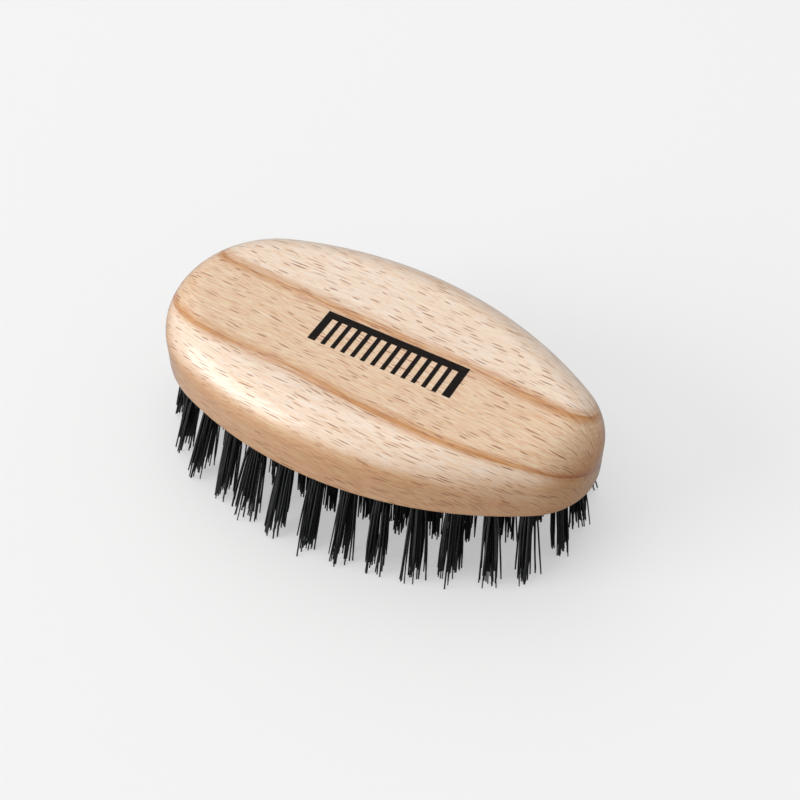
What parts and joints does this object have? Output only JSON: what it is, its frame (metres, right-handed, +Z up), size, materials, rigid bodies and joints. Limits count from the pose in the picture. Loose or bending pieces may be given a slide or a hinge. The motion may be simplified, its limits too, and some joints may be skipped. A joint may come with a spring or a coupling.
{
  "type": "beard brush",
  "caption": "Egg-shaped palm brush: a rounded wooden handle with rings of folded bristle tufts anchored in blind holes.",
  "frame": {"origin": "middle of the brush's footprint, on the surface that the bristle tips stand on", "axes": "+X along the handle towards its narrow end, +Y across it, +Z up from the bristle tips to the rounded top of the wood"},
  "size_m": [0.09, 0.0604, 0.0325],
  "materials": {
    "beech": "light beech with brown growth bands and short dark flecks, satin clear lacquer",
    "bristle": "black bristles with a faint cool sheen and paler tips",
    "anchor_wire": "drawn flat steel wire",
    "ink": "matt black printing ink"
  },
  "bodies": {
    "root": {"handle": "beech", "outer_anchors": "anchor_wire", "middle_anchors": "anchor_wire", "inner_anchors": "anchor_wire", "printed_comb": "ink", "outer_tuft_01": "bristle", "outer_tuft_02": "bristle", "outer_tuft_03": "bristle", "outer_tuft_04": "bristle", "outer_tuft_05": "bristle", "outer_tuft_06": "bristle", "outer_tuft_07": "bristle", "outer_tuft_08": "bristle", "outer_tuft_09": "bristle", "outer_tuft_10": "bristle", "outer_tuft_11": "bristle", "outer_tuft_12": "bristle", "outer_tuft_13": "bristle", "outer_tuft_14": "bristle", "outer_tuft_15": "bristle", "outer_tuft_16": "bristle", "outer_tuft_17": "bristle", "outer_tuft_18": "bristle", "outer_tuft_19": "bristle", "outer_tuft_20": "bristle", "outer_tuft_21": "bristle", "outer_tuft_22": "bristle", "outer_tuft_23": "bristle", "outer_tuft_24": "bristle", "outer_tuft_25": "bristle", "outer_tuft_26": "bristle", "outer_tuft_27": "bristle", "outer_tuft_28": "bristle", "outer_tuft_29": "bristle", "outer_tuft_30": "bristle", "middle_tufts_01": "bristle", "middle_tufts_02": "bristle", "middle_tufts_03": "bristle", "middle_tufts_04": "bristle", "middle_tufts_05": "bristle", "middle_tufts_06": "bristle", "middle_tufts_07": "bristle", "middle_tufts_08": "bristle", "left_row_tufts_01": "bristle", "left_row_tufts_02": "bristle", "left_row_tufts_03": "bristle", "left_row_tufts_04": "bristle", "right_row_tufts_01": "bristle", "right_row_tufts_02": "bristle", "right_row_tufts_03": "bristle", "right_row_tufts_04": "bristle", "end_tuft": "bristle", "centre_tuft_01": "bristle", "centre_tuft_02": "bristle", "centre_tuft_03": "bristle", "centre_tuft_04": "bristle", "centre_tuft_05": "bristle"}
  },
  "joints": []
}
